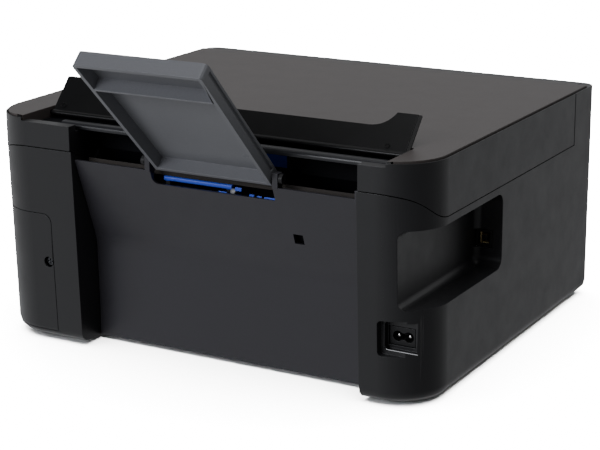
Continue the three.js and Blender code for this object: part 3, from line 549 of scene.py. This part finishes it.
def build_usb_contacts():
    """Four gold contact strips on the tongue of the data socket, and two spring fingers beside it."""
    low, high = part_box("usb_port")
    middle = (low + high) / 2
    strips, pitch, strip_half_width = 4, 1.0 * MM, 0.22 * MM
    strip_y = (high.y - 5 * MM, high.y - 1.5 * MM)
    strip_z = (middle.z + 2.02 * MM, middle.z + 2.2 * MM)
    finger, finger_y = 0.5 * MM, (high.y - 5.5 * MM, high.y - 0.7 * MM)
    upright_x, upright_z = low.x + 9.0 * MM, (low.z + 2.2 * MM, high.z - 2.2 * MM)
    level_x, level_z = (low.x + 2.3 * MM, low.x + 7.6 * MM), low.z + 2.9 * MM

    def build(bm):
        for i in range(strips):
            x = middle.x + (i - (strips - 1) / 2) * pitch
            add_block(bm, (x - strip_half_width, strip_y[0], strip_z[0]),
                      (x + strip_half_width, strip_y[1], strip_z[1]))
        add_block(bm, (upright_x, finger_y[0], upright_z[0]), (upright_x + finger, finger_y[1], upright_z[1]))
        add_block(bm, (level_x[0], finger_y[0], level_z), (level_x[1], finger_y[1], level_z + finger))
    add_piece("usb_contacts", "base", "gold", build)


def build_guide_knob():
    """A pale knob that shows through the notch beside the blue feed guide."""
    low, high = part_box("feed_guide")
    place = facing(Vector((low.x - 2.2 * MM, high.y + 1.2 * MM, low.z + 2.6 * MM)), (0, 1, 0.35))
    radius = 2.3 * MM
    profile = [(0, -1.5 * MM), (radius - 0.4 * MM, -1.5 * MM), (radius, -1.1 * MM), (radius, 0.3 * MM),
               (radius - 0.4 * MM, 0.9 * MM), (0.9 * MM, 1.2 * MM), (0, 1.25 * MM)]
    add_piece("guide_knob", "base", "knob", lambda bm: add_turned(bm, place, profile))


# start and end along X, place along Y, bottom and top, in millimetres from the feed guide's corner
GUIDE_TABS = (
    (-9.5, -4.0, 0.6, 3.4, 6.1),
    (-21.5, -17.5, 3.0, 0.1, 3.1),
    (-28.0, -24.0, 3.2, 0.1, 2.7),
    (-42.0, -30.5, 4.2, 0.1, 3.0),
    (1.5, 8.5, 3.2, 0.1, 2.4),
)
TAB_THICKNESS = 1.4


def build_guide_tabs():
    """Small blue tabs in line with the feed guide, behind the lower edge of the notch."""
    low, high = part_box("feed_guide")

    def build(bm):
        for start, end, back, bottom, top in GUIDE_TABS:
            add_block(bm, (low.x + start * MM, high.y + back * MM, low.z + bottom * MM),
                      (low.x + end * MM, high.y + (back + TAB_THICKNESS) * MM, low.z + top * MM))
    add_piece("guide_tabs", "base", "blue", build, 0.3 * MM)


def build_mouth_painted_shade():
    """Painted shade: thin black sheets on the back of the mouth and on the guard's seat, where there is only
    shadow; before them a dark blue sheet, a painted reflection of the blue guide.
    """
    hopper_low, hopper_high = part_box("hopper_plate")
    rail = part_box("cross_rail")[0]
    guard_low, guard_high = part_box("feeder_guard")
    sheet = 0.25 * MM
    overhang = 1.2 * MM
    ends_x = (hopper_low.x - overhang, hopper_high.x + overhang)
    seat_margin, seat_y, seat_z = 0.5 * MM, (rail.y - 25 * MM, rail.y - 0.4 * MM), rail.z - 0.45 * MM
    back_y, bend_z = rail.y - 22.1 * MM, rail.z - 20.2 * MM
    slope_y, slope_z = back_y - 12 * MM, rail.z - 34.9 * MM
    slope = ((back_y, bend_z), (slope_y, slope_z), (slope_y + sheet, slope_z),
             (back_y + sheet, bend_z - 0.05 * MM))

    # painted shade: black sheets where the mouth lies in shadow
    def shade_sheets(bm):
        add_block(bm, (guard_low.x + seat_margin, seat_y[0], seat_z),
                  (guard_high.x - seat_margin, seat_y[1], seat_z + sheet))
        add_block(bm, (ends_x[0], back_y, bend_z), (ends_x[1], back_y + sheet, seat_z - 0.1 * MM))
        first, second = ([(x, y, z) for y, z in slope] for x in ends_x)
        add_prism(bm, first, second)

    # painted reflection: a dark blue sheet standing in for blue light from the feed guide on the back of the
    # mouth
    reflection_x = (rail.x + 97 * MM, rail.x + 121 * MM)
    reflection_z = (rail.z - 17 * MM, seat_z - 2 * MM)
    add_piece("mouth_painted_shade", "scanner_unit", "shade", shade_sheets)
    add_piece("mouth_blue_reflection", "scanner_unit", "painted_blue_reflection", lambda bm: add_block(
        bm, (reflection_x[0], back_y + 2 * sheet, reflection_z[0]), (reflection_x[1], back_y + 3 * sheet, reflection_z[1])))


def build_hopper_lip():
    """The flat upper edge of the hopper, which closes the mouth behind the rear panel; its pale warm colour
    is painted light, the band where light falls on that edge.
    """
    low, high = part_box("hopper_plate")
    lip_y = (high.y - 0.3 * MM, high.y + 0.5 * MM)
    lip_z = (high.z - 5.2 * MM, high.z + 0.4 * MM)
    add_piece("hopper_lip", "hopper", "hopper", lambda bm: add_block(
        bm, (low.x + MM, lip_y[0], lip_z[0]), (high.x - MM, lip_y[1], lip_z[1])), 0.25 * MM)


SUPPORT_LEAN = math.radians(45)
SUPPORT_DEPTH = 12.3 * MM


def support_frame():
    """The tray's own frame: X across, Y up its slope from the foot, Z out of its back."""
    low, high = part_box("paper_support")
    foot = Vector(((low.x + high.x) / 2, low.y + SUPPORT_DEPTH * math.sin(SUPPORT_LEAN), low.z))
    return Matrix.Translation(foot) @ Matrix.Rotation(SUPPORT_LEAN, 4, "X")


def build_support_marks():
    """Two small raised rings near the foot of the tray."""
    large = support_frame() @ Matrix.Translation((-36 * MM, 21 * MM, 10.0 * MM))
    small = large @ Matrix.Translation((4.6 * MM, 0, 0))
    raised = 0.25 * MM

    def build(bm):
        add_ring(bm, large, 1.5 * MM, raised)
        add_ring(bm, small, 0.8 * MM, raised)
    add_piece("support_marks", "support", "support", build)


GUARD_LEAN = math.radians(42)


def build_guard_marks():
    """A moulded ring near each end of the guard, on the face turned to the rear."""
    low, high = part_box("feeder_guard")
    normal = Vector((0, math.cos(GUARD_LEAN), math.sin(GUARD_LEAN)))
    up = Vector((0, -math.sin(GUARD_LEAN), math.cos(GUARD_LEAN)))
    axis = Vector((0, high.y - 1.4 * MM, low.z + 2.2 * MM))
    face = 1.25 * MM

    def spot(x, height):
        return facing(Vector((x, 0, 0)) + axis + up * height + normal * face, normal)

    def build(bm):
        add_ring(bm, spot(high.x - 13 * MM, 7 * MM), 2.1 * MM, 0.22 * MM)
        add_ring(bm, spot(low.x + 22 * MM, 6 * MM), 1.7 * MM, 0.2 * MM)
    add_piece("guard_marks", "guard", "guard", build)


build_inlet_trim()
build_inlet_pins()
build_usb_contacts()
build_guide_knob()
build_guide_tabs()
build_mouth_painted_shade()
build_hopper_lip()
build_support_marks()
build_guard_marks()


# ---------------------------------------------------------------- stage and light
FLOOR_HALF_SIZE = 8
# brightness of the studio: from below and how it changes with direction, from above, in front and overhead
WORLD = {"below": 0.51, "below_x": 0.36, "below_y": -0.09, "above": 0.1, "backdrop": 0.45, "overhead": 0.3}
DARKEST = 0.05
BACKGROUND = 20.0


def build_stage():
    """A plain pale floor that neither mirrors in the object nor lights it."""
    mesh = bpy.data.meshes.new("floor")
    floor = bpy.data.objects.new("floor", mesh)
    bm = bmesh.new()
    bmesh.ops.create_grid(bm, x_segments=2, y_segments=2, size=FLOOR_HALF_SIZE)
    bm.to_mesh(mesh)
    bm.free()
    s = Shader("floor_paper")
    tone = s.noise(3.0, detail=3.0, roughness=0.5)
    s.plug(s.surface.inputs["Base Color"], s.mix(s.clouds(tone), (0.9, 0.9, 0.9, 1), (0.93, 0.93, 0.93, 1)))
    s.surface.inputs["Roughness"].default_value = 0.9
    s.surface.inputs["Specular IOR Level"].default_value = 0.1
    mesh.materials.append(s.material)
    floor.visible_glossy = False
    floor.visible_diffuse = False
    return floor


def area_light(name, place, target, size, power, colour=(1, 1, 1)):
    """A rectangular lamp at place, turned to face target."""
    data = bpy.data.lights.new(name, "AREA")
    data.shape = "RECTANGLE"
    data.size, data.size_y = size
    data.energy = power
    data.color = colour
    light = bpy.data.objects.new(name, data)
    light.location = place
    light.rotation_euler = (Vector(target) - Vector(place)).to_track_quat("-Z", "Y").to_euler()
    bpy.context.scene.collection.objects.link(light)
    return light


def build_world():
    """White behind everything; the object itself sees a soft studio, brighter in front and overhead."""
    world = bpy.data.worlds.new("studio")
    world.use_nodes = True
    bpy.context.scene.world = world
    tree = world.node_tree
    tree.nodes.clear()

    def node(kind, inputs, **settings):
        made = tree.nodes.new(kind)
        for key, value in settings.items():
            setattr(made, key, value)
        for key, value in inputs.items():
            if hasattr(value, "is_output"):
                tree.links.new(value, made.inputs[key])
            else:
                made.inputs[key].default_value = value
        return made

    direction = node("ShaderNodeTexCoord", {}).outputs["Generated"]
    x, y, z = node("ShaderNodeSeparateXYZ", {0: direction}).outputs

    def maths(operation, first, second):
        return node("ShaderNodeMath", {0: first, 1: second}, operation=operation).outputs[0]

    def ramp(value, start, end, level):
        """0 where value is start, rising smoothly to level where it is end."""
        inputs = {"Value": value, "From Min": start, "From Max": end, "To Max": level}
        return node("ShaderNodeMapRange", inputs, interpolation_type="SMOOTHSTEP").outputs[0]

    below = maths("ADD", maths("MULTIPLY", x, WORLD["below_x"]), maths("MULTIPLY", y, WORLD["below_y"]))
    below = maths("MAXIMUM", maths("ADD", below, WORLD["below"]), DARKEST)
    above = maths("ADD", ramp(y, 0.3, -0.8, WORLD["backdrop"]), WORLD["above"])
    above = maths("ADD", above, ramp(z, 0.75, 1.0, WORLD["overhead"]))
    horizon = ramp(z, -0.1, 0.1, 1.0)
    level = node("ShaderNodeMix", {0: horizon, 2: below, 3: above}, data_type="FLOAT").outputs[0]
    studio = node("ShaderNodeBackground", {0: (0.97, 0.98, 1.0, 1), 1: level}).outputs[0]
    white = node("ShaderNodeBackground", {0: (1, 1, 1, 1), 1: BACKGROUND}).outputs[0]
    seen = node("ShaderNodeLightPath", {}).outputs["Is Camera Ray"]
    both = node("ShaderNodeMixShader", {0: seen, 1: studio, 2: white}).outputs[0]
    node("ShaderNodeOutputWorld", {0: both})


def build_light(floor):
    """A lamp for the floor alone, pale beside a nearly black object, and soft lamps overhead and behind."""
    only_floor = bpy.data.collections.new("only_floor")
    bpy.context.scene.collection.children.link(only_floor)
    only_floor.objects.link(floor)
    lamp = area_light("floor_lamp", (0, 0, 3.0), (0, 0, 0), (5, 5), 4200)
    lamp.light_linking.receiver_collection = only_floor
    area_light("overhead", (-0.2, 0.3, 1.9), (0, 0, 0.1), (1.6, 1.2), 9)
    area_light("rear", (0.75, 2.5, 1.1), (0, 0.1, 0.15), (1.8, 0.9), 40, (0.93, 0.95, 1.0))


build_world()
build_light(build_stage())
